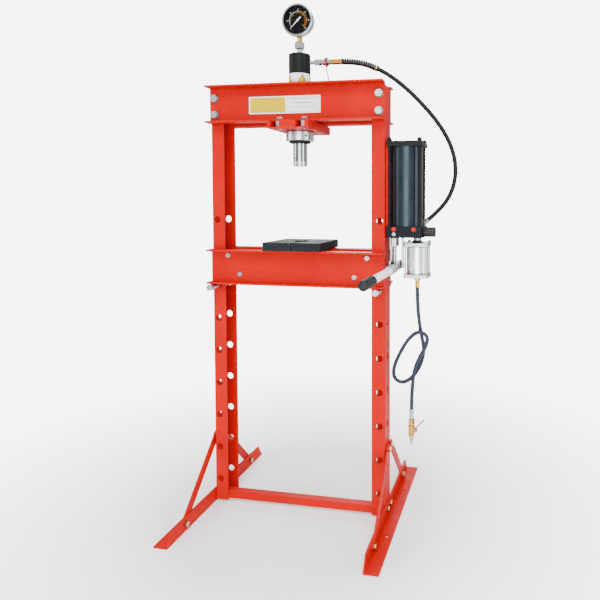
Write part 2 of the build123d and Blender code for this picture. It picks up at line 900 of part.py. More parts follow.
with BuildPart() as bleed_screw:
    with BuildSketch(facing((block_screw[0], -pump_width / 2, block_screw[1]), FRONT)):
        Circle(6)
    extrude(amount=2.5)
    chamfer(bleed_screw.faces().sort_by(Axis.Y)[0].edges(), 0.8)
    with BuildSketch(facing((block_screw[0], -pump_width / 2 - 3, block_screw[1]), BACK)):
        RegularPolygon(3, 6)
    extrude(amount=2, mode=Mode.SUBTRACT)
save(group([plunger_gland.part, release_collar.part, bleed_screw.part]), "pump_glands")

eye_width = 16.0
eye_radius = 10.0

with BuildPart() as pump_plunger:
    with BuildSketch(Plane((lever_x, plunger_y, plunger_pin))):
        Circle(7.05)
    extrude(amount=pump_floor + 8 - plunger_pin)
    eye_start = (lever_x - eye_width / 2, plunger_y, plunger_pin)
    with BuildSketch(facing(eye_start, RIGHT, (0, 1, 0))):
        Circle(eye_radius)
    extrude(amount=eye_width)
    with BuildSketch(facing((lever_x - 18, plunger_y, plunger_pin), RIGHT, (0, 1, 0))):
        Circle(4)
    extrude(amount=36)
save(pump_plunger.part, "pump_plunger")

link_foot = plunger_pin - 11.0


def pump_links():
    """Two flat bars fixed under the block, and the lever's pivot pin between them."""
    pieces = []
    for side in (-1, 1):
        low = (lever_x + side * link_offset - link_plate / 2, lever_pivot[0] - 9, link_foot)
        with BuildPart() as bar:
            add(box((link_plate, 18, pump_floor - link_foot), low))
            bottom = bar.edges().filter_by(Axis.X).group_by(Axis.Z)[0]
            fillet(bottom, 8.9)
            pin_start = (low[0] - 1, lever_pivot[0], lever_pivot[1])
            with BuildSketch(facing(pin_start, RIGHT, (0, 1, 0))):
                Circle(5)
            extrude(amount=link_plate + 2, mode=Mode.SUBTRACT)
        pieces.append(bar.part)
    outside = link_offset + link_plate / 2
    pin_plane = facing((lever_x - outside, *lever_pivot), RIGHT, (0, 1, 0))
    pieces.append(rod(pin_plane, 5, 2 * outside))
    for side in (-1, 1):
        cap = facing((lever_x + side * outside, *lever_pivot), (side, 0, 0), (0, 1, 0))
        pieces.append(rod(cap, 7, 2))
    return group(pieces)


save(pump_links(), "pump_links")

cheek_inner = 9.0
cheek_outer = 14.0
cheek_length = 78.0
slot_shift = 1.3
slot_half_width = 4.95
socket_start = -52.0
socket_end = -122.0
handle_radius = 12.5

with BuildPart() as lever_socket:
    for side in (-1, 1):
        start = lever_x + (cheek_inner if side > 0 else -cheek_outer)
        low = (start, lever_pivot[0] + 13 - cheek_length, handle_height - 6)
        add(box((cheek_outer - cheek_inner, cheek_length, 31), low))
    with BuildSketch(facing((lever_x, socket_start, handle_height), FRONT)):
        Circle(16)
    extrude(amount=socket_start - socket_end)
    with BuildSketch(facing((lever_x, socket_start - 4, handle_height), FRONT)):
        Circle(handle_radius + 0.1)
    extrude(amount=socket_start - socket_end, mode=Mode.SUBTRACT)
    far_left = lever_x - cheek_outer - 1
    with BuildSketch(facing((far_left, *lever_pivot), RIGHT, (0, 1, 0))):
        Circle(5.06)
    extrude(amount=2 * cheek_outer + 2, mode=Mode.SUBTRACT)
    slot_middle = (far_left, plunger_y - slot_shift, plunger_pin)
    with BuildSketch(facing(slot_middle, RIGHT, (0, 1, 0))):
        SlotCenterToCenter(2 * slot_shift + 0.8, 2 * slot_half_width)
    extrude(amount=2 * cheek_outer + 2, mode=Mode.SUBTRACT)
save(lever_socket.part, "lever_socket")

grip_length = 102.0
grip_wall = 3.2

with BuildPart() as handle_tube:
    with BuildSketch(facing((lever_x, socket_start - 5, handle_height), FRONT)):
        Circle(handle_radius)
        Circle(handle_radius - 2.2, mode=Mode.SUBTRACT)
    extrude(amount=socket_start - 5 - handle_end - 4)
save(handle_tube.part, "handle_tube")

with BuildPart() as handle_grip:
    with BuildSketch(facing((lever_x, handle_end + grip_length, handle_height), FRONT)):
        Circle(handle_radius + grip_wall)
    extrude(amount=grip_length)
    fillet(handle_grip.faces().sort_by(Axis.Y)[0].edges(), 4)
    fillet(handle_grip.faces().sort_by(Axis.Y)[-1].edges(), 1)
    with BuildSketch(facing((lever_x, handle_end + grip_length, handle_height), FRONT)):
        Circle(handle_radius + 0.05)
    extrude(amount=grip_length - 4, mode=Mode.SUBTRACT)
save(handle_grip.part, "handle_grip")

# ---------------------------------------------------------------- air motor

motor_cap = 12.0
motor_radius = 37.0
motor_rod_offset = 35.5
motor_neck_radius = 13.5

with BuildPart() as air_motor_tube:
    with BuildSketch(Plane((motor_x, motor_y, motor_floor + motor_cap))):
        Circle(motor_radius)
        Circle(motor_radius - 3, mode=Mode.SUBTRACT)
    extrude(amount=motor_top - motor_floor - 2 * motor_cap)
save(air_motor_tube.part, "air_motor_tube")


def motor_cap_block(low):
    with BuildPart() as cap:
        with BuildSketch(Plane((motor_x, motor_y, low))):
            RectangleRounded(motor_width, motor_width, 7)
            with GridLocations(2 * motor_rod_offset, 2 * motor_rod_offset, 2, 2):
                Circle(3.1, mode=Mode.SUBTRACT)
        extrude(amount=motor_cap)
        chamfer(cap.edges().filter_by(GeomType.LINE).filter_by(Axis.X), 1)
    return cap.part


with BuildPart() as air_motor_head:
    add(motor_cap_block(motor_top - motor_cap))
    with BuildSketch(Plane((motor_x, motor_y, motor_top))):
        Circle(motor_neck_radius + 8)
    with BuildSketch(Plane((motor_x, motor_y, motor_top + 8))):
        Circle(motor_neck_radius)
    loft()
    with BuildSketch(Plane((motor_x, motor_y, motor_top + 8))):
        Circle(motor_neck_radius)
    extrude(amount=pump_floor - motor_top - 8)


def motor_rods():
    """Four through rods, each with a nut above the head."""
    pieces = []
    for x in (-motor_rod_offset, motor_rod_offset):
        for y in (-motor_rod_offset, motor_rod_offset):
            place = (motor_x + x, motor_y + y, motor_floor)
            pieces.append(rod(Plane(place), 3, motor_top - motor_floor + 7))
            nut = Plane((place[0], place[1], motor_top))
            pieces.append(hex_nut(nut, 10, 5, 3.1))
    return pieces


save(group([motor_cap_block(motor_floor), air_motor_head.part] + motor_rods()), "air_motor_caps")

barb_end = 812.0

with BuildPart() as air_barb:
    with BuildSketch(Plane((motor_x, motor_y, motor_floor - 11))):
        RegularPolygon(9, 6, major_radius=False)
    extrude(amount=11)
    with BuildSketch(Plane((motor_x, motor_y, barb_end))):
        Circle(7.4)
    extrude(amount=motor_floor - 11 - barb_end)
save(air_barb.part, "air_barb")

# ---------------------------------------------------------------- hoses


def fillet_radii(points, share=0.45):
    """The arc radius at each corner of a route: as large as its two runs allow."""
    radii = []
    for before, here, after in zip(points, points[1:], points[2:]):
        first = Vector(*here) - Vector(*before)
        second = Vector(*after) - Vector(*here)
        half_turn = math.radians(first.get_angle(second)) / 2
        radii.append(share * min(first.length, second.length) / math.tan(half_turn))
    return radii


def hose(points, radius, inner=0.0):
    """A tube along straight runs and tangent arcs; inner makes it hollow."""
    radii = fillet_radii(points)
    with BuildPart() as tube:
        with BuildLine() as route:
            FilletPolyline(*points, radius=radii)
        start = points[0]
        with BuildSketch(Plane(origin=start, z_dir=Vector(*points[1]) - Vector(*start))):
            Circle(radius)
            if inner > 0:
                Circle(inner, mode=Mode.SUBTRACT)
        sweep()
    section = math.pi * (radius**2 - inner**2)
    length = route.wires()[0].length
    print(f"arc radii {min(radii):.0f} to {max(radii):.0f}, length {length:.0f}")
    print(f"volume over section times length {tube.part.volume / section / length:.4f}")
    return tube.part


hydraulic_route = [
    (157, 0, 1593),
    (206, 2, 1591),
    (262, 5, 1575),
    (322, 9, 1543),
    (382, 13, 1496),
    (440, 17, 1438),
    (496, 21, 1372),
    (538, 25, 1298),
    (555, 28, 1222),
    (544, 31, 1148),
    (507, 33, 1085),
    (455, 34, 1041),
]

air_route = [
    (427, -12, 812),
    (427, -10, 764),
    (430, -3, 708),
    (437, 4, 650),
    (450, 6, 592),
    (437, 4, 534),
    (404, 0, 486),
    (367, -3, 470),
    (341, -6, 492),
    (345, -9, 532),
    (366, -12, 580),
    (397, -15, 633),
    (433, -17, 662),
    (466, -19, 646),
    (459, -21, 609),
    (434, -22, 566),
    (417, -20, 520),
    (412, -17, 470),
    (408, -14, 426),
    (408, -13, 385),
]

strap_route = [
    (99, -15, 1598),
    (103, -17, 1570),
    (110, -17, 1540),
    (116, -14, 1508),
    (118, -11, 1478),
]

save(hose(hydraulic_route, hose_radius), "hydraulic_hose")
save(hose(air_route, air_hose_radius), "air_hose")
save(hose(strap_route, strap_radius), "cap_strap")

guard_radius = 10.3
guard_reach = 0.46
guard_end = [
    a + guard_reach * (b - a) for a, b in zip(hydraulic_route[2], hydraulic_route[3])
]


def spring_guard():
    """A sleeve over the hose's first stretch, following its first two arcs."""
    radii = fillet_radii(hydraulic_route)[:2]
    points = hydraulic_route[:3] + [tuple(guard_end)]
    with BuildPart() as sleeve:
        with BuildLine():
            FilletPolyline(*points, radius=radii)
        start = Vector(*points[0])
        with BuildSketch(Plane(origin=start, z_dir=Vector(*points[1]) - start)):
            Circle(guard_radius)
            Circle(hose_radius + 0.3, mode=Mode.SUBTRACT)
        sweep()
    return sleeve.part


save(spring_guard(), "spring_guard")

# ---------------------------------------------------------------- hose fittings

coupler_start = 74.0
coupler_end = 115.0
ferrule_end = 157.0


def turned(plane, steps):
    """A turned fitting: (radius, length) of each step along the plane's normal."""
    with BuildPart() as fitting:
        reach = 0.0
        for radius, length in steps:
            with BuildSketch(plane.offset(reach)):
                Circle(radius)
            extrude(amount=length)
            reach += length
    return fitting.part


with BuildPart() as port_pipe:
    with BuildSketch(facing((ram_bore_radius + 1, 0, port_height), RIGHT, (0, 1, 0))):
        Circle(pipe_radius)
    extrude(amount=57 - ram_bore_radius - 1)
    with BuildSketch(facing((57, 0, port_height), RIGHT, (0, 1, 0))):
        RegularPolygon(9.5, 6, major_radius=False)
    extrude(amount=coupler_start - 57)
coupler_plane = facing((coupler_start, 0, port_height), RIGHT, (0, 1, 0))
coupler_steps = [(11.5, 5), (9, 9), (11.5, 18), (9.5, coupler_end - coupler_start - 32)]
save(group([port_pipe.part, turned(coupler_plane, coupler_steps)]), "port_fittings")

ferrule_plane = facing((coupler_end, 0, port_height), RIGHT, (0, 1, 0))
ferrule_steps = [(8, 4), (10, ferrule_end - coupler_end - 4)]
save(turned(ferrule_plane, ferrule_steps), "hose_ferrule")

elbow_radius = 6.0
elbow_corner = Vector(*elbow_place, pump_roof + elbow_radius)
hose_exit = Vector(*hydraulic_route[-1])
elbow_neck = hose_exit - elbow_corner
swage_grip = 4.0
swage_length = 20.0

with BuildPart() as hose_elbow:
    with BuildSketch(Plane((*elbow_place, pump_roof))):
        RegularPolygon(7.5, 6)
    extrude(amount=5)
    with Locations(elbow_corner):
        Sphere(elbow_radius)
    with BuildSketch(Plane(origin=elbow_corner, z_dir=elbow_neck)):
        Circle(elbow_radius)
    extrude(amount=elbow_neck.length)
    swage_start = hose_exit + elbow_neck.normalized() * swage_grip
    with BuildSketch(Plane(origin=swage_start, z_dir=elbow_neck * -1)):
        Circle(8.8)
    extrude(amount=swage_length)
save(hose_elbow.part, "hose_elbow")


def dust_cap():
    """The strap's two ends: the loop round the coupler and the cap that hangs from it."""
    with BuildPart() as loop:
        with BuildSketch(facing((97, 0, port_height), RIGHT, (0, 1, 0))):
            Circle(16.5)
            Circle(11.9, mode=Mode.SUBTRACT)
        extrude(amount=4)
    end = strap_route[-1]
    with BuildPart() as cap:
        with BuildSketch(Plane((end[0], end[1], end[2] - 30))):
            Circle(11.5)
        extrude(amount=30)
        fillet(cap.edges(), 2)
    return group([loop.part, cap.part])


save(dust_cap(), "dust_cap")

valve_x = 408.0
valve_y = -13.0
valve_stem_z = 312.0
valve_plane = facing((valve_x, valve_y, 385), DOWN)

save(turned(valve_plane, [(7.6, 35)]), "air_ferrule")

with BuildPart() as valve_body:
    with BuildSketch(Plane((valve_x, valve_y, 336))):
        RegularPolygon(9.5, 6, major_radius=False)
    extrude(amount=14)
    with BuildSketch(Plane((valve_x, valve_y, 292))):
        Circle(9.5)
    extrude(amount=44)
    with BuildSketch(Plane((valve_x, valve_y, 300))):
        RegularPolygon(11, 8, major_radius=False)
    extrude(amount=26)
    with BuildSketch(facing((valve_x, valve_y, valve_stem_z), RIGHT, (0, 1, 0))):
        Circle(6.5)
    extrude(amount=14)
    with BuildSketch(facing((valve_x + 4, valve_y, valve_stem_z), RIGHT, (0, 1, 0))):
        Circle(3.06)
    extrude(amount=12, mode=Mode.SUBTRACT)
save(valve_body.part, "valve_body")

valve_lever_start = valve_x + 15.0

with BuildPart() as valve_lever:
    with BuildSketch(facing((valve_x + 6, valve_y, valve_stem_z), RIGHT, (0, 1, 0))):
        Circle(3)
    extrude(amount=14)
    with BuildSketch(facing((0, valve_y + 5, 0), FRONT)):
        with BuildLine():
            Polyline(
                (valve_lever_start, valve_stem_z - 8),
                (valve_lever_start + 3, valve_stem_z - 8),
                (valve_lever_start + 3, valve_stem_z + 7),
                (valve_lever_start + 30, valve_stem_z + 36),
                (valve_lever_start + 27.5, valve_stem_z + 38),
                (valve_lever_start, valve_stem_z + 8),
                close=True,
            )
        make_face()
    extrude(amount=10)
save(valve_lever.part, "valve_lever")

save(turned(facing((valve_x, valve_y, 292), DOWN), [(8, 8), (4, 6), (5.5, 8), (3.5, 12)]), "air_nipple")
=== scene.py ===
import json
import math

import bmesh
import bpy
from mathutils import Matrix, Vector


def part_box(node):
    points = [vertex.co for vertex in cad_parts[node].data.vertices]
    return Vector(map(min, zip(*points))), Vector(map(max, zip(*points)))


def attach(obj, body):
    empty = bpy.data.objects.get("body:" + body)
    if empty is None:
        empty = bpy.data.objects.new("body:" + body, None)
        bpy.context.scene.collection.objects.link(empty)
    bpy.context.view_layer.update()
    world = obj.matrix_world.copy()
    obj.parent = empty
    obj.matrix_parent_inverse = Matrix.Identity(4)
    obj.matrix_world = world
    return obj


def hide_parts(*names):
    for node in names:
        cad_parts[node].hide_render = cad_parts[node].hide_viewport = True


# Hydraulic shop press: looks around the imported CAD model. Metres, +Z up, -Y is the operator's side.

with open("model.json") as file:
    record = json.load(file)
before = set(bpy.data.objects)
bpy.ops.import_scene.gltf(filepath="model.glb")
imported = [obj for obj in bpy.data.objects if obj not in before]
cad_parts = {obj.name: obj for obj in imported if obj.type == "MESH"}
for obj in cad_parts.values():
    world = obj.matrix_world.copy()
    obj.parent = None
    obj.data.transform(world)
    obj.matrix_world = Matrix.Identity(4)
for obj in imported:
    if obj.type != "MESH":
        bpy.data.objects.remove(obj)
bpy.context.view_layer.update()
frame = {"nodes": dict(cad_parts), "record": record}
nodes = frame["nodes"]

# ---------------------------------------------------------------- camera

CAMERA_PLACE = (0.749, -1.900, 1.112)
CAMERA_AZIMUTH = 10.48
CAMERA_PITCH = 2.58
CAMERA_ROLL = 0.15
CAMERA_LENS = 33.6
CAMERA_SHIFT = (-0.183, -0.125)


def make_camera():
    data = bpy.data.cameras.new("camera")
    data.sensor_width = 36
    data.lens = CAMERA_LENS
    data.shift_x, data.shift_y = CAMERA_SHIFT
    camera = bpy.data.objects.new("camera", data)
    bpy.context.scene.collection.objects.link(camera)
    turn = Matrix.Rotation(math.radians(CAMERA_AZIMUTH), 4, "Z")
    turn = turn @ Matrix.Rotation(math.radians(90 - CAMERA_PITCH), 4, "X")
    turn = turn @ Matrix.Rotation(math.radians(CAMERA_ROLL), 4, "Z")
    camera.matrix_world = Matrix.Translation(CAMERA_PLACE) @ turn
    bpy.context.scene.camera = camera


make_camera()

# ---------------------------------------------------------------- shader helpers


class Shader:
    """One material's node tree, with short calls for the nodes used here."""

    def __init__(self, name):
        self.material = bpy.data.materials.new(name)
        self.material.use_nodes = True
        self.nodes = self.material.node_tree.nodes
        self.links = self.material.node_tree.links
        self.bsdf = self.nodes["Principled BSDF"]
        self.place = self.nodes.new("ShaderNodeTexCoord").outputs["Object"]

    def put(self, value, socket):
        if hasattr(value, "is_output"):
            self.links.new(value, socket)
        else:
            socket.default_value = value

    def noise(self, scale, detail=4.0, stretch=(1, 1, 1), distortion=0.0):
        mapping = self.nodes.new("ShaderNodeMapping")
        mapping.inputs["Scale"].default_value = stretch
        self.links.new(self.place, mapping.inputs["Vector"])
        texture = self.nodes.new("ShaderNodeTexNoise")
        texture.inputs["Scale"].default_value = scale
        texture.inputs["Detail"].default_value = detail
        texture.inputs["Distortion"].default_value = distortion
        self.links.new(mapping.outputs[0], texture.inputs["Vector"])
        return texture.outputs[0]

    def cells(self, scale):
        texture = self.nodes.new("ShaderNodeTexVoronoi")
        texture.inputs["Scale"].default_value = scale
        self.links.new(self.place, texture.inputs["Vector"])
        return texture.outputs["Distance"]

    def span(self, value, low, high, to_low, to_high):
        node = self.nodes.new("ShaderNodeMapRange")
        self.put(value, node.inputs[0])
        for socket, number in zip(list(node.inputs)[1:5], (low, high, to_low, to_high)):
            socket.default_value = number
        return node.outputs[0]

    def times(self, a, b):
        node = self.nodes.new("ShaderNodeMath")
        node.operation = "MULTIPLY"
        self.put(a, node.inputs[0])
        self.put(b, node.inputs[1])
        return node.outputs[0]

    def blend(self, factor, a, b):
        node = self.nodes.new("ShaderNodeMix")
        node.data_type = "RGBA"
        self.put(factor, node.inputs[0])
        self.put(a, node.inputs[6])
        self.put(b, node.inputs[7])
        return node.outputs[2]

    def edges(self, width):
        """1 on sharp edges, 0 on flats, from the difference a bevel would make to the normal."""
        bevel = self.nodes.new("ShaderNodeBevel")
        bevel.samples = 4
        bevel.inputs["Radius"].default_value = width
        geometry = self.nodes.new("ShaderNodeNewGeometry")
        dot = self.nodes.new("ShaderNodeVectorMath")
        dot.operation = "DOT_PRODUCT"
        self.links.new(bevel.outputs[0], dot.inputs[0])
        self.links.new(geometry.outputs["Normal"], dot.inputs[1])
        return self.span(dot.outputs["Value"], 0.80, 0.985, 1.0, 0.0)

    def crevice(self, reach):
        """1 in corners and creases, 0 on open faces: a mask for shade painted into the colour there.
        """
        shade = self.nodes.new("ShaderNodeAmbientOcclusion")
        shade.samples = 6
        shade.inputs["Distance"].default_value = reach
        return self.span(shade.outputs["AO"], 0.55, 0.97, 0.95, 0.0)

    def bump(self, height, strength, distance):
        node = self.nodes.new("ShaderNodeBump")
        node.inputs["Strength"].default_value = strength
        node.inputs["Distance"].default_value = distance
        self.links.new(height, node.inputs["Height"])
        self.links.new(node.outputs[0], self.bsdf.inputs["Normal"])

    def fixed(self, **values):
        """Values that are the same all over the surface, set on the shader's own sockets."""
        for label, value in values.items():
            self.bsdf.inputs[label.replace("_", " ")].default_value = value


def rgba(colour, gain=1.0):
    return (*[min(channel * gain, 1.0) for channel in colour], 1.0)


# ---------------------------------------------------------------- materials


def paint(
    name, colour, roughness, worn,
    variation=0.08, coat=0.35, wear=0.5, peel=0.10, shine=0.25, sheen=(1, 1, 1),
):
    """Sprayed paint: faint orange peel, dust in the gloss and thin or rubbed spots on the edges."""
    shader = Shader(name)
    patches = shader.span(shader.noise(7, 3), 0.35, 0.65, 0.0, 1.0)
    colour_socket = shader.blend(patches, rgba(colour, 1 - variation), rgba(colour, 1 + variation))
    specks = shader.span(shader.noise(420, 2), 0.66, 0.72, 0.0, 0.30)
    colour_socket = shader.blend(specks, colour_socket, rgba(colour, 0.6))
    rub = shader.span(shader.noise(95, 5), 0.50, 0.60, 0.0, wear)
    edge = shader.times(shader.edges(0.0011), rub)
    shader.put(shader.blend(edge, colour_socket, rgba(worn)), shader.bsdf.inputs["Base Color"])
    haze = shader.span(shader.noise(26, 5), 0.3, 0.7, roughness - 0.06, roughness + 0.08)
    shader.put(haze, shader.bsdf.inputs["Roughness"])
    shader.bump(shader.noise(330, 2), peel, 0.0004)
    shader.fixed(
        Coat_Weight=coat, Coat_Roughness=0.12, Specular_IOR_Level=shine, Specular_Tint=rgba(sheen)
    )
    return shader.material


def metal(
    name, colour, roughness, grain=(1, 1, 1), scale=240, swing=0.10, tarnish=0.12, relief=0.12
):
    """Bare or plated metal. grain stretches the fine marks the way it was turned or drawn."""
    shader = Shader(name)
    stain = shader.span(shader.noise(34, 6), 0.35, 0.70, 0.0, 1.0)
    fine = shader.noise(scale, 5, grain)
    base = shader.blend(stain, rgba(colour), rgba(colour, 1 - tarnish))
    streaks = shader.span(fine, 0.3, 0.7, 0.0, 0.35)
    base = shader.blend(streaks, base, rgba(colour, 0.86))
    # Painted shade: corners and creases darkened to a small share of the metal's colour, from the
    # ambient occlusion mask.
    base = shader.blend(shader.crevice(0.007), base, rgba(colour, 0.06))
    shader.put(base, shader.bsdf.inputs["Base Color"])
    rough = shader.span(fine, 0.25, 0.75, roughness - swing / 2, roughness + swing / 2)
    shader.put(rough, shader.bsdf.inputs["Roughness"])
    shader.bump(fine, relief, 0.0002)
    shader.fixed(Metallic=1.0)
    return shader.material


def zinc(name, colour, spangle):
    """Passivated zinc: metal with faint cloudy crystals that shift in tint."""
    shader = Shader(name)
    cloud = shader.span(shader.cells(160), 0.1, 0.8, 0.0, 1.0)
    base = shader.blend(cloud, rgba(colour), rgba(spangle))
    dirt = shader.span(shader.noise(60, 6), 0.55, 0.75, 0.0, 0.5)
    base = shader.blend(dirt, base, rgba(colour, 0.55))
    # Painted shade: corners and creases darkened almost to black, from the ambient occlusion mask.
    base = shader.blend(shader.crevice(0.012), base, (0.02, 0.02, 0.02, 1))
    shader.put(base, shader.bsdf.inputs["Base Color"])
    rough = shader.span(shader.noise(220, 4), 0.3, 0.7, 0.22, 0.42)
    shader.put(rough, shader.bsdf.inputs["Roughness"])
    shader.bump(shader.noise(500, 3), 0.10, 0.0002)
    shader.fixed(Metallic=0.9)
    return shader.material


def moulded(name, colour, roughness, grain=700, relief=0.25, shine=0.4, dust=(0.35, 0.33, 0.30)):
    """Rubber or plastic: fine moulded texture, a little dust and scuffed edges."""
    shader = Shader(name)
    cloud = shader.span(shader.noise(22, 4), 0.35, 0.7, 0.0, 1.0)
    base = shader.blend(cloud, rgba(colour, 0.85), rgba(colour, 1.15))
    rub = shader.span(shader.noise(130, 5), 0.45, 0.62, 0.0, 0.35)
    scuff = shader.times(shader.edges(0.0009), rub)
    base = shader.blend(scuff, base, rgba(dust))
    film = shader.span(shader.noise(48, 6), 0.55, 0.8, 0.0, 0.10)
    shader.put(shader.blend(film, base, rgba(dust)), shader.bsdf.inputs["Base Color"])
    rough = shader.span(shader.noise(90, 4), 0.3, 0.7, roughness - 0.07, roughness + 0.09)
    shader.put(rough, shader.bsdf.inputs["Roughness"])
    shader.bump(shader.noise(grain, 3), relief, 0.0002)
    shader.fixed(Specular_IOR_Level=shine)
    return shader.material


def printed(name, colour, roughness=0.42, shine=0.5):
    """Ink or printed film: slightly uneven tone and gloss."""
    shader = Shader(name)
    tone = shader.span(shader.noise(55, 4), 0.3, 0.7, 0.0, 1.0)
    base = shader.blend(tone, rgba(colour, 0.93), rgba(colour, 1.04))
    shader.put(base, shader.bsdf.inputs["Base Color"])
    rough = shader.span(shader.noise(140, 3), 0.3, 0.7, roughness - 0.07, roughness + 0.07)
    shader.put(rough, shader.bsdf.inputs["Roughness"])
    shader.bump(shader.noise(800, 2), 0.06, 0.0001)
    shader.fixed(Specular_IOR_Level=shine)
    return shader.material


def clear_glass(name):
    shader = Shader(name)
    film = shader.span(shader.noise(40, 5), 0.4, 0.75, 0.03, 0.10)
    shader.put(film, shader.bsdf.inputs["Roughness"])
    shader.fixed(Base_Color=(0.02, 0.02, 0.02, 1), Alpha=0.06, IOR=1.45)
    shader.bump(shader.noise(90, 2), 0.02, 0.0001)
    return shader.material


RED = (0.42, 0.0012, 0.0004)
BARE = (0.50, 0.44, 0.40)
RUBBED_BLACK = (0.06, 0.06, 0.07)

frame_paint = paint("frame_paint", RED, 0.42, BARE, variation=0.07, coat=0.0, wear=0.16, shine=0.05)
gloss_black = paint(
    "pump_paint", (0.0035, 0.0045, 0.0065), 0.36, RUBBED_BLACK,
    variation=0.2, coat=0.06, wear=0.06, peel=0.04, shine=0.42, sheen=(0.62, 0.84, 1.0),
)
block_black = paint(
    "block_black", (0.0025, 0.003, 0.004), 0.40, RUBBED_BLACK,
    variation=0.2, coat=0.0, wear=0.08, peel=0.05, shine=0.10,
)
satin_black = paint(
    "ram_paint", (0.006, 0.007, 0.007), 0.46, RUBBED_BLACK,
    variation=0.2, coat=0.0, wear=0.10, shine=0.10,
)
plate_black = paint(
    "arbor_paint", (0.008, 0.010, 0.012), 0.62, (0.40, 0.41, 0.43),
    variation=0.3, coat=0.0, wear=0.8, shine=0.10,
)
brass = metal("brass", (0.62, 0.36, 0.06), 0.28, relief=0.04)
steel = metal("machined_steel", (0.50, 0.52, 0.54), 0.30, grain=(1, 1, 14), relief=0.04)
turned_steel = metal(
    "turned_steel", (0.52, 0.55, 0.58), 0.32,
    grain=(1, 1, 16), scale=300, swing=0.08, tarnish=0.10, relief=0.02,
)
chrome = metal(
    "hard_chrome", (0.34, 0.35, 0.36), 0.16,
    grain=(1, 1, 10), scale=260, swing=0.06, tarnish=0.06, relief=0.006,
)
bezel_metal = metal(
    "bezel_metal", (0.46, 0.48, 0.51), 0.18, scale=260, swing=0.06, tarnish=0.06, relief=0.006
)
dark_steel = metal(
    "dark_steel", (0.24, 0.23, 0.22), 0.38,
    grain=(1, 9, 1), scale=260, swing=0.14, tarnish=0.3, relief=0.2,
)
dull_steel = metal(
    "dull_steel", (0.40, 0.41, 0.42), 0.40, scale=200, swing=0.14, tarnish=0.25, relief=0.2
)
aluminium = metal(
    "motor_aluminium", (0.95, 0.97, 0.96), 0.32,
    grain=(1, 1, 0.08), scale=420, tarnish=0.06, relief=0.02,
)
cast_grey = metal("motor_caps", (0.46, 0.49, 0.50), 0.36, scale=520, swing=0.12, tarnish=0.2)
bright_zinc = zinc("bright_zinc", (0.62, 0.62, 0.60), (0.46, 0.49, 0.52))
yellow_zinc = zinc("yellow_zinc", (0.64, 0.46, 0.18), (0.60, 0.54, 0.30))
handle_paint = paint(
    "handle_paint", (0.84, 0.84, 0.81), 0.30, (0.42, 0.40, 0.38), variation=0.04, coat=0.3
)
black_rubber = moulded(
    "black_rubber", (0.005, 0.007, 0.009), 0.50,
    grain=620, relief=0.20, shine=0.25, dust=(0.03, 0.035, 0.04),
)
hose_rubber = moulded(
    "hose_rubber", (0.004, 0.0045, 0.005), 0.52,
    grain=900, relief=0.10, shine=0.16, dust=(0.012, 0.012, 0.012),
)
air_rubber = moulded(
    "air_hose_rubber", (0.018, 0.023, 0.040), 0.50,
    grain=900, relief=0.10, shine=0.2, dust=(0.03, 0.04, 0.06),
)
knob_plastic = moulded(
    "knob_plastic", (0.003, 0.003, 0.004), 0.38,
    grain=500, relief=0.10, shine=0.25, dust=(0.02, 0.02, 0.02),
)
red_plastic = moulded(
    "red_plastic", (0.46, 0.003, 0.003), 0.42,
    grain=500, relief=0.10, shine=0.1, dust=(0.40, 0.02, 0.02),
)
strap_plastic = moulded(
    "strap_plastic", (0.46, 0.004, 0.010), 0.42,
    grain=500, relief=0.12, shine=0.1, dust=(0.40, 0.02, 0.02),
)
valve_red = moulded("valve_red", (0.34, 0.02, 0.035), 0.40, grain=400, relief=0.15)
guard_black = moulded(
    "guard_wire", (0.003, 0.003, 0.004), 0.34,
    grain=600, relief=0.06, shine=0.25, dust=(0.02, 0.02, 0.02),
)
white_print = printed("white_print", (0.88, 0.87, 0.82))
yellow_print = printed("yellow_print", (0.56, 0.40, 0.0), roughness=0.5, shine=0.02)
orange_print = printed("orange_print", (0.85, 0.28, 0.02))
black_print = printed("black_print", (0.0012, 0.0015, 0.0022), roughness=0.75, shine=0.05)
grey_print = printed("grey_print", (0.10, 0.10, 0.09))
glass = clear_glass("gauge_glass")

SLOT_MATERIALS = {
    "frame_paint": frame_paint,
    "zinc_bolts": bright_zinc,
    "yellow_zinc": yellow_zinc,
    "ram_paint": satin_black,
    "machined_steel": turned_steel,
    "seal_black": satin_black,
    "hard_chrome": chrome,
    "spring_steel": dark_steel,
    "fitting_brass": brass,
    "gauge_case_steel": steel,
    "bezel_chrome": bezel_metal,
    "dial_face": black_print,
    "gauge_glass": glass,
    "needle_white": white_print,
    "plate_white": white_print,
    "bright_steel": steel,
    "arbor_paint": plate_black,
    "pump_paint": gloss_black,
    "plug_red": red_plastic,
    "knob_black": knob_plastic,
    "linkage_zinc": bright_zinc,
    "handle_paint": handle_paint,
    "grip_rubber": black_rubber,
    "motor_aluminium": aluminium,
    "motor_cap_grey": cast_grey,
    "hose_black": hose_rubber,
    "guard_black": guard_black,
    "coupler_steel": steel,
    "elbow_grey": dull_steel,
    "strap_red": strap_plastic,
    "cap_red": strap_plastic,
    "air_hose_blue": air_rubber,
    "valve_brass": brass,
    "valve_lever_red": valve_red,
    "nipple_steel": steel,
}

# Nodes whose finish differs from the rest of their slot.
NODE_MATERIALS = {
    "pump_block": block_black,
    "tie_rods": block_black,
    "reservoir_cap": satin_black,
}


def dress_cad_nodes():
    """Every CAD node gets its own material, or the one of its slot."""
    for part in frame["record"]["subparts"]:
        piece = nodes[part["node"]]
        material = NODE_MATERIALS.get(part["node"], SLOT_MATERIALS[part["material_slot"]])
        for slot in piece.material_slots:
            slot.material = material


dress_cad_nodes()

# ---------------------------------------------------------------- mesh helpers


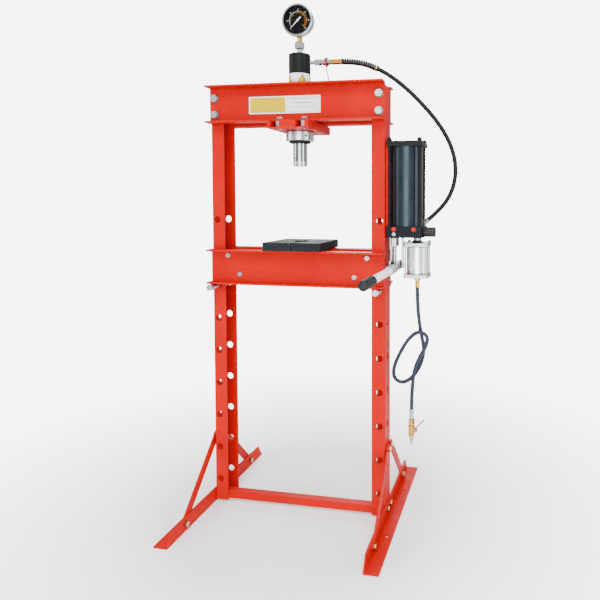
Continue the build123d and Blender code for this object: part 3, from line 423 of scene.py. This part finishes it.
def place(name, mesh, material, body, smooth=True):
    piece = bpy.data.objects.new(name, mesh)
    bpy.context.scene.collection.objects.link(piece)
    mesh.materials.clear()
    mesh.materials.append(material)
    for polygon in mesh.polygons:
        polygon.use_smooth = smooth
    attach(piece, body)
    return piece


def mesh_of(name, points, faces):
    mesh = bpy.data.meshes.new(name)
    mesh.from_pydata([tuple(point) for point in points], [], faces)
    mesh.update()
    return mesh


def outward(mesh):
    form = bmesh.new()
    form.from_mesh(mesh)
    bmesh.ops.recalc_face_normals(form, faces=form.faces)
    form.to_mesh(mesh)
    form.free()


def closed_mesh(name, points, faces):
    """A closed mesh with all of its faces turned outwards."""
    mesh = mesh_of(name, points, faces)
    outward(mesh)
    return mesh


def ring_faces(rings, segments):
    """Faces that join rings of points one after the other, with a cap on each end."""
    faces = []
    for ring in range(rings - 1):
        a = ring * segments
        for k in range(segments):
            n = (k + 1) % segments
            faces.append((a + k, a + n, a + segments + n, a + segments + k))
    last = (rings - 1) * segments
    faces.append(tuple(reversed(range(segments))))
    faces.append(tuple(range(last, last + segments)))
    return faces


def axis_frame(direction):
    """A direction's unit vector, and two unit vectors across it."""
    along = Vector(direction).normalized()
    side = along.cross(Vector((0, 0, 1)))
    if side.length < 0.01:
        side = Vector((1, 0, 0))
    side.normalize()
    return along, side, along.cross(side).normalized()


def lathe(name, origin, direction, profile, segments=64, ripple=None):
    """A closed turned form. profile lists (distance along, radius), and ripple(angle, distance)
    adds to a radius."""
    along, side, up = axis_frame(direction)
    origin = Vector(origin)
    points = []
    for distance, radius in profile:
        for k in range(segments):
            angle = 2 * math.pi * k / segments
            r = radius + (ripple(angle, distance) if ripple else 0.0)
            spoke = side * math.cos(angle) + up * math.sin(angle)
            points.append(origin + along * distance + spoke * r)
    return closed_mesh(name, points, ring_faces(len(profile), segments))


def crease(mesh, degrees=35):
    """Smooth shading with sharp edges kept where faces meet at more than this angle."""
    for polygon in mesh.polygons:
        polygon.use_smooth = True
    form = bmesh.new()
    form.from_mesh(mesh)
    for edge in form.edges:
        if len(edge.link_faces) == 2:
            edge.smooth = edge.calc_face_angle() < math.radians(degrees)
    form.to_mesh(mesh)
    form.free()


def join_meshes(name, meshes):
    form = bmesh.new()
    for mesh in meshes:
        form.from_mesh(mesh)
        bpy.data.meshes.remove(mesh)
    whole = bpy.data.meshes.new(name)
    form.to_mesh(whole)
    form.free()
    return whole


def slab(name, outline, lift, normal):
    """A closed slab from a flat outline of points, lifted by a vector of the given length."""
    count = len(outline)
    top = [Vector(point) + Vector(normal) * lift for point in outline]
    faces = [tuple(range(count)), tuple(reversed(range(count, 2 * count)))]
    faces += [(k, count + k, count + (k + 1) % count, (k + 1) % count) for k in range(count)]
    return closed_mesh(name, [Vector(point) for point in outline] + top, faces)


def tube_along(name, path, radius, segments=10):
    """A closed round tube through a list of points, with frames carried along it without twist."""
    points = []
    side = axis_frame(path[1] - path[0])[1]
    for index, here in enumerate(path):
        ahead = path[min(index + 1, len(path) - 1)] - path[max(index - 1, 0)]
        ahead.normalize()
        side = (side - ahead * side.dot(ahead)).normalized()
        up = ahead.cross(side)
        for k in range(segments):
            angle = 2 * math.pi * k / segments
            points.append(here + (side * math.cos(angle) + up * math.sin(angle)) * radius)
    return closed_mesh(name, points, ring_faces(len(path), segments))


# ---------------------------------------------------------------- hoses

HYDRAULIC_ROUTE = [
    (0.157, 0.000, 1.593),
    (0.206, 0.002, 1.591),
    (0.262, 0.005, 1.575),
    (0.322, 0.009, 1.543),
    (0.382, 0.013, 1.496),
    (0.440, 0.017, 1.438),
    (0.496, 0.021, 1.372),
    (0.538, 0.025, 1.298),
    (0.555, 0.028, 1.222),
    (0.544, 0.031, 1.148),
    (0.507, 0.033, 1.085),
    (0.455, 0.034, 1.041),
]
AIR_ROUTE = [
    (0.427, -0.012, 0.812),
    (0.427, -0.010, 0.764),
    (0.430, -0.003, 0.708),
    (0.437, 0.004, 0.650),
    (0.450, 0.006, 0.592),
    (0.437, 0.004, 0.534),
    (0.404, 0.000, 0.486),
    (0.367, -0.003, 0.470),
    (0.341, -0.006, 0.492),
    (0.345, -0.009, 0.532),
    (0.366, -0.012, 0.580),
    (0.397, -0.015, 0.633),
    (0.433, -0.017, 0.662),
    (0.466, -0.019, 0.646),
    (0.459, -0.021, 0.609),
    (0.434, -0.022, 0.566),
    (0.417, -0.020, 0.520),
    (0.412, -0.017, 0.470),
    (0.408, -0.014, 0.426),
    (0.408, -0.013, 0.385),
]
STRAP_ROUTE = [
    (0.099, -0.015, 1.598),
    (0.103, -0.017, 1.570),
    (0.110, -0.017, 1.540),
    (0.116, -0.014, 1.508),
    (0.118, -0.011, 1.478),
]


def route_curve(name, route, resolution):
    """Curve data for one smooth open spline along a route, from its first point to its last."""
    data = bpy.data.curves.new(name, "CURVE")
    data.dimensions = "3D"
    data.resolution_u = resolution
    spline = data.splines.new("NURBS")
    spline.points.add(len(route) - 1)
    for point, where in zip(spline.points, route):
        point.co = (*where, 1)
    spline.use_endpoint_u = True
    spline.order_u = 3
    return data


def cord_curve(name, route, radius, material, node):
    data = route_curve(name, route, 12)
    data.bevel_depth = radius
    data.bevel_resolution = 5
    data.use_fill_caps = True
    data.materials.append(material)
    curve = bpy.data.objects.new(name, data)
    bpy.context.scene.collection.objects.link(curve)
    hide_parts(node)
    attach(curve, "root")
    return curve


def centreline(route):
    """Points along the route's own spline, read from the curve with no bevel."""
    data = route_curve("line", route, 24)
    line = bpy.data.objects.new("line", data)
    mesh = bpy.data.meshes.new_from_object(line)
    points = [vertex.co.copy() for vertex in mesh.vertices]
    bpy.data.meshes.remove(mesh)
    bpy.data.objects.remove(line)
    bpy.data.curves.remove(data)
    return points


HOSE_RADIUS = 0.0075
AIR_RADIUS = 0.0066
STRAP_RADIUS = 0.002

hydraulic = cord_curve(
    "hydraulic_hose_line", HYDRAULIC_ROUTE, HOSE_RADIUS, hose_rubber, "hydraulic_hose"
)
air = cord_curve("air_hose_line", AIR_ROUTE, AIR_RADIUS, air_rubber, "air_hose")
strap = cord_curve(
    "cap_strap_line", STRAP_ROUTE, STRAP_RADIUS, strap_plastic, "cap_strap"
)

# ---------------------------------------------------------------- spring guard

GUARD_WIRE = 0.0026
GUARD_MEAN = 0.0090
GUARD_PITCH = 0.0084
GUARD_LINER = 0.0082
GUARD_END = 0.286
GUARD_STEPS = 18  # points on each turn of the wire


def walk(points, step):
    """Points at equal steps along a line of points."""
    walked = [points[0].copy()]
    left = step
    for a, b in zip(points, points[1:]):
        run = b - a
        length = run.length
        used = 0.0
        while length - used >= left:
            used += left
            walked.append(a + run * (used / length))
            left = step
        left -= length - used
    return walked


def spring_guard():
    """Wire wound round the hose's first stretch over a dark liner, with a ring where it ends."""
    line = [point for point in centreline(HYDRAULIC_ROUTE) if point.x <= GUARD_END]
    path = walk(line, GUARD_PITCH / GUARD_STEPS)
    coil = []
    side = Vector((0, 1, 0))
    for index in range(1, len(path) - 1):
        ahead = (path[index + 1] - path[index - 1]).normalized()
        side = (side - ahead * side.dot(ahead)).normalized()
        up = ahead.cross(side)
        angle = 2 * math.pi * index / GUARD_STEPS
        coil.append(path[index] + (side * math.cos(angle) + up * math.sin(angle)) * GUARD_MEAN)
    wire = tube_along("spring_guard_coil", coil, GUARD_WIRE, 7)
    liner = tube_along("spring_guard_liner", path[1:-1], GUARD_LINER, 20)
    liner = place("spring_guard_liner", liner, dark_steel, "root")
    ring_axis = path[-1] - path[-20]
    ring = lathe(
        "guard_end_ring",
        path[-1] - ring_axis.normalized() * 0.010,
        ring_axis,
        [(0, 0.0080), (0.0005, 0.0100), (0.0095, 0.0100), (0.010, 0.0080)],
        32,
    )
    crease(ring)
    end_ring = place("guard_end_ring", ring, brass, "root")
    guard = place("spring_guard_coil", wire, guard_black, "root")
    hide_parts("spring_guard")
    return [guard, liner, end_ring]


guard_pieces = spring_guard()

# ---------------------------------------------------------------- gauge dial

GAUGE = Vector((0.0, -0.0145, 1.738))
MARK_LIFT = 0.0003
SWEEP_START = 225.0
SWEEP = 270.0
MAJORS = 6
MINORS = 60
LAST_SAFE = 33  # the last fine mark before the scale turns orange
SAFE_SHARE = 0.56


def dial_point(fraction, radius):
    """A point on the dial at a fraction of the scale, seen from the front."""
    angle = math.radians(SWEEP_START - SWEEP * fraction)
    return GAUGE + Vector((math.cos(angle) * radius, 0, math.sin(angle) * radius))


def tick(fraction, inner, outer, width):
    a = dial_point(fraction, inner)
    b = dial_point(fraction, outer)
    across = (b - a).normalized().cross(Vector((0, 1, 0))) * width / 2
    return slab("tick", [a - across, a + across, b + across, b - across], MARK_LIFT, (0, -1, 0))


def arc_band(start, end, inner, outer, steps=40):
    fractions = [start + (end - start) * k / steps for k in range(steps + 1)]
    outline = [dial_point(f, outer) for f in fractions]
    outline += [dial_point(f, inner) for f in reversed(fractions)]
    return slab("band", outline, MARK_LIFT, (0, -1, 0))


def numeral(text, centre, height):
    data = bpy.data.curves.new("numeral", "FONT")
    data.body = text
    data.size = height
    data.align_x = "CENTER"
    data.align_y = "CENTER"
    data.extrude = MARK_LIFT / 2
    data.resolution_u = 3
    letter = bpy.data.objects.new("numeral", data)
    mesh = bpy.data.meshes.new_from_object(letter)
    mesh.transform(Matrix.Translation(centre) @ Matrix.Rotation(math.pi / 2, 4, "X"))
    bpy.data.objects.remove(letter)
    bpy.data.curves.remove(data)
    return mesh


def gauge_face():
    """Two round scales of marks and numbers, white and yellow at first and then orange."""
    white = [arc_band(0.0, SAFE_SHARE, 0.0320, 0.0325)]
    for k in range(LAST_SAFE + 1):
        long_tick = k % 10 == 0
        half_tick = k % 5 == 0
        inner = 0.0295 if long_tick else 0.0304 if half_tick else 0.0310
        white.append(tick(k / MINORS, inner, 0.0322, 0.0007 if long_tick else 0.0004))
    for k in range(MAJORS + 1):
        white.append(numeral(str(10 * k), dial_point(k / MAJORS, 0.0385), 0.0052))
    yellow = [arc_band(0.10, SAFE_SHARE, 0.0270, 0.0274)]
    for k in range(1, MAJORS + 1):
        yellow.append(numeral(str(k), dial_point(k / MAJORS, 0.0230), 0.0046))
    for k in range(6, LAST_SAFE + 1, 3):
        yellow.append(tick(k / MINORS, 0.0260, 0.0272, 0.0004))
    orange = [arc_band(SAFE_SHARE, 1.0, 0.0319, 0.0326), arc_band(SAFE_SHARE, 1.0, 0.0269, 0.0275)]
    for k in range(LAST_SAFE + 1, MINORS + 1):
        inner = 0.0282 if k % 10 == 0 else 0.0302
        orange.append(tick(k / MINORS, inner, 0.0320, 0.0008 if k % 10 == 0 else 0.0004))
    scales = [
        ("dial_scale_white", white, white_print, "needle_white"),
        ("dial_scale_yellow", yellow, yellow_print, "dial_face"),
        ("dial_scale_orange", orange, orange_print, "dial_face"),
    ]
    for name, marks, ink, slot in scales:
        place(name, join_meshes(name, marks), ink, "root", False)


gauge_face()

# ---------------------------------------------------------------- labels


def rounded_rectangle(low, high, radius, y, steps=5):
    corners = [
        (high[0] - radius, high[1] - radius, 0),
        (low[0] + radius, high[1] - radius, 90),
        (low[0] + radius, low[1] + radius, 180),
        (high[0] - radius, low[1] + radius, 270),
    ]
    outline = []
    for x, z, start in corners:
        for k in range(steps + 1):
            angle = math.radians(start + 90 * k / steps)
            outline.append(Vector((x + radius * math.cos(angle), y, z + radius * math.sin(angle))))
    return outline


def framed_strip(low, high, width, y, lift):
    """A thin rectangular border line as one closed mesh."""
    x0, z0 = low
    x1, z1 = high
    bars = [
        ((x0, z0), (x1, z0 + width)),
        ((x0, z1 - width), (x1, z1)),
        ((x0, z0 + width), (x0 + width, z1 - width)),
        ((x1 - width, z0 + width), (x1, z1 - width)),
    ]
    meshes = []
    for (a, b), (c, d) in bars:
        outline = [Vector((a, y, b)), Vector((c, y, b)), Vector((c, y, d)), Vector((a, y, d))]
        meshes.append(slab("bar", outline, lift, (0, -1, 0)))
    return join_meshes("border", meshes)


def name_plate_print():
    """Two plain fields on the name plate, a yellow one and a white one inside a thin line, with
    plain bars in place of lettering."""
    low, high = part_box("name_plate")
    face = low[1]
    margin = 0.0042
    split = low[0] + (high[0] - low[0]) * 0.515
    film = 0.00025
    yellow = rounded_rectangle(
        (low[0] + margin, low[2] + margin), (split, high[2] - margin), 0.0008, face
    )
    place(
        "label_yellow_field", slab("label_yellow_field", yellow, film, (0, -1, 0)),
        yellow_print, "root", False,
    )
    line = framed_strip(
        (split + 0.008, low[2] + margin + 0.001), (high[0] - margin, high[2] - margin - 0.001),
        0.0006, face, film,
    )
    place("label_border_line", line, grey_print, "root", False)
    middle = (split + 0.008 + high[0] - margin) / 2
    rows = [
        (middle, 0.046, 0.0016, 0.0490),
        (middle, 0.030, 0.0026, 0.0345),
        (middle, 0.040, 0.0010, 0.0235),
        ((low[0] + margin + split) / 2 - 0.012, 0.014, 0.0018, 0.0500),
    ]
    bars = []
    for x, half, height, above in rows:
        z = low[2] + above
        corners = [(x - half, z), (x + half, z), (x + half, z + height), (x - half, z + height)]
        outline = [(across, face, up) for across, up in corners]
        bars.append(slab("bar", outline, 2 * film, (0, -1, 0)))
    place(
        "label_plain_bars", join_meshes("label_plain_bars", bars),
        grey_print, "root", False,
    )


name_plate_print()

RAM_RADIUS = 0.038
BAND_LOW = 1.5115
BAND_HIGH = 1.552
BAND_START = -95.0
BAND_END = 85.5


def ram_point(angle, z, lift):
    """A point on the ram body at an angle in degrees from the front, towards +X."""
    turn = math.radians(angle)
    radius = RAM_RADIUS + lift
    return Vector((math.sin(turn) * radius, -math.cos(turn) * radius, z))


def wrapped_film(name, spans, base, lift, steps):
    """A closed film on the ram. spans(t) gives (angle, low, high) at t from 0 to 1."""
    points = []
    for k in range(steps + 1):
        angle, low, high = spans(k / steps)
        for z, extra in ((low, base), (high, base), (high, lift), (low, lift)):
            points.append(ram_point(angle, z, extra))
    faces = [(0, 1, 2, 3), tuple(4 * steps + k for k in (3, 2, 1, 0))]
    for k in range(steps):
        a = 4 * k
        for i in range(4):
            j = (i + 1) % 4
            faces.append((a + i, a + j, a + 4 + j, a + 4 + i))
    return closed_mesh(name, points, faces)


def triangle_span(centre, half_width, low, high):
    """Angle and height span of an upright triangle wrapped round the ram."""
    half_angle = math.degrees(half_width / RAM_RADIUS)

    def spans(t):
        offset = -1 + 2 * t
        top = low + (high - low) * (1 - abs(offset)) + 0.00005
        return centre + offset * half_angle, low, top

    return spans


def ram_label():
    """A white band round the front of the ram with two plain triangles on it."""
    place(
        "ram_label_band",
        wrapped_film(
            "ram_label_band",
            lambda t: (BAND_START + (BAND_END - BAND_START) * t, BAND_LOW, BAND_HIGH),
            0.00005, 0.0003, 60,
        ),
        white_print, "root",
    )
    outlines = []
    fills = []
    for centre in (-46.0, 36.0):
        outlines.append(
            wrapped_film("t", triangle_span(centre, 0.0228, 1.5120, 1.5490), 0.0003, 0.00042, 24)
        )
        fills.append(
            wrapped_film("t", triangle_span(centre, 0.0200, 1.5125, 1.5445), 0.00042, 0.00054, 24)
        )
    layers = [
        ("ram_label_triangle_edges", outlines, black_print),
        ("ram_label_triangles", fills, yellow_print),
    ]
    for name, films, ink in layers:
        place(name, join_meshes(name, films), ink, "root")


ram_label()

# ---------------------------------------------------------------- grip and knob


def handle_grip():
    """Moulded rubber grip: ribs along most of it, a collar in front and a domed end."""
    low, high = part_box("handle_grip")
    radius = (high[0] - low[0]) / 2
    centre = ((low[0] + high[0]) / 2, high[1], (low[2] + high[2]) / 2)
    length = high[1] - low[1]
    profile = [
        (0.0, radius * 0.86),
        (0.0015, radius * 0.99),
        (0.006, radius),
        (0.0075, radius * 0.93),
    ]
    ribs = 15
    start = 0.009
    pitch = (length - 0.012 - start) / ribs
    for k in range(ribs):
        at = start + pitch * k
        profile += [
            (at, radius * 0.90),
            (at + pitch * 0.2, radius * 0.96),
            (at + pitch * 0.5, radius * 0.975),
            (at + pitch * 0.8, radius * 0.96),
        ]
    dome = 0.009
    profile += [(length - 0.011, radius * 0.91), (length - dome, radius)]
    for k in range(1, 7):
        turn = math.pi / 2 * k / 6
        reach = radius * (0.35 + 0.65 * math.cos(turn))
        profile.append((length - dome + dome * math.sin(turn), reach))
    mesh = lathe("handle_grip_ribbed", centre, (0, -1, 0), profile, 48)
    crease(mesh, 50)
    grip = place("handle_grip_ribbed", mesh, black_rubber, "lever")
    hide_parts("handle_grip")


def release_knob():
    """Fluted plastic knob on its turned stem, with a rounded face and a shallow dished end."""
    low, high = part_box("release_knob")
    radius = (high[2] - low[2]) / 2
    centre = (low[0], (low[1] + high[1]) / 2, (low[2] + high[2]) / 2)
    stem_radius = 0.004
    stem = 0.028
    end = high[0] - low[0]
    flutes = 20

    def ripple(angle, distance):
        if distance < stem + 0.002 or distance > end - 0.002:
            return 0.0
        return -0.0012 * (0.5 + 0.5 * math.cos(flutes * angle)) ** 2

    profile = [
        (0.0, stem_radius),
        (stem, stem_radius),
        (stem + 0.0001, radius * 0.80),
        (stem + 0.0014, radius * 0.96),
        (stem + 0.0028, radius * 0.995),
        (end - 0.0030, radius * 0.995),
        (end - 0.0012, radius * 0.95),
        (end - 0.0002, radius * 0.84),
        (end - 0.0004, radius * 0.62),
        (end - 0.0016, radius * 0.50),
        (end - 0.0018, radius * 0.10),
    ]
    mesh = lathe("release_knob_fluted", centre, (1, 0, 0), profile, 160, ripple)
    crease(mesh, 55)
    knob = place("release_knob_fluted", mesh, knob_plastic, "release")
    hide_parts("release_knob")


handle_grip()
release_knob()

# ---------------------------------------------------------------- stage and light

BACKDROP = 7.0
ROOM_LIGHT = 0.85


def make_floor():
    """A pale floor that turns into the backdrop's own brightness away from the press."""
    reach = 40
    points = [(-reach, -reach, 0), (reach, -reach, 0), (reach, reach, 0), (-reach, reach, 0)]
    mesh = mesh_of("studio_floor", [Vector(point) for point in points], [(0, 1, 2, 3)])
    shader = Shader("studio_floor")
    tone = shader.span(shader.noise(3, 4), 0.3, 0.7, 0.0, 1.0)
    base = shader.blend(tone, (0.90, 0.90, 0.90, 1), (0.93, 0.93, 0.93, 1))
    shader.put(base, shader.bsdf.inputs["Base Color"])
    shader.fixed(Roughness=0.85, Specular_IOR_Level=0.2)
    shader.bump(shader.noise(40, 4), 0.05, 0.001)
    glow = shader.nodes.new("ShaderNodeEmission")
    glow.inputs["Strength"].default_value = BACKDROP
    distance = shader.nodes.new("ShaderNodeVectorMath")
    distance.operation = "LENGTH"
    shader.links.new(shader.place, distance.inputs[0])
    far = shader.span(distance.outputs["Value"], 0.45, 1.7, 0.0, 1.0)
    path = shader.nodes.new("ShaderNodeLightPath")
    share = shader.times(far, path.outputs["Is Camera Ray"])
    mixer = shader.nodes.new("ShaderNodeMixShader")
    shader.links.new(share, mixer.inputs[0])
    shader.links.new(shader.bsdf.outputs[0], mixer.inputs[1])
    shader.links.new(glow.outputs[0], mixer.inputs[2])
    shader.links.new(mixer.outputs[0], shader.nodes["Material Output"].inputs["Surface"])
    floor = bpy.data.objects.new("studio_floor", mesh)
    mesh.materials.append(shader.material)
    bpy.context.scene.collection.objects.link(floor)


def softbox(name, place_at, look_at, size, power, colour=(1, 1, 1)):
    data = bpy.data.lights.new(name, "AREA")
    data.shape = "RECTANGLE"
    data.size = size[0]
    data.size_y = size[1]
    data.energy = power
    data.color = colour
    light = bpy.data.objects.new(name, data)
    light.location = place_at
    light.rotation_euler = (Vector(look_at) - Vector(place_at)).to_track_quat("-Z", "Y").to_euler()
    bpy.context.scene.collection.objects.link(light)


def make_world():
    world = bpy.data.worlds.new("studio")
    world.use_nodes = True
    tree = world.node_tree
    room = tree.nodes["Background"]
    room.inputs["Color"].default_value = (1, 1, 1, 1)
    room.inputs["Strength"].default_value = ROOM_LIGHT
    behind = tree.nodes.new("ShaderNodeBackground")
    behind.inputs["Color"].default_value = (1, 1, 1, 1)
    behind.inputs["Strength"].default_value = BACKDROP
    path = tree.nodes.new("ShaderNodeLightPath")
    mixer = tree.nodes.new("ShaderNodeMixShader")
    tree.links.new(path.outputs["Is Camera Ray"], mixer.inputs[0])
    tree.links.new(room.outputs[0], mixer.inputs[1])
    tree.links.new(behind.outputs[0], mixer.inputs[2])
    tree.links.new(mixer.outputs[0], tree.nodes["World Output"].inputs["Surface"])
    bpy.context.scene.world = world


make_floor()
make_world()
softbox("key", (0.6, -2.9, 3.7), (0, 0, 0.9), (2.2, 1.4), 120)
softbox("front", (0.60, -3.1, 1.15), (0.35, 0, 1.0), (1.6, 2.3), 115, (0.88, 0.95, 1.0))
softbox("right", (3.3, -1.0, 1.4), (0.2, 0, 0.9), (1.0, 2.4), 70)
softbox("left", (-3.2, -1.2, 1.8), (0, 0, 0.9), (1.0, 2.4), 60)
softbox("top", (0.2, 0.2, 3.9), (0, 0, 1.0), (2.4, 1.8), 90)
softbox("back", (-0.6, 3.2, 2.2), (0, 0, 0.9), (1.8, 2.4), 90)
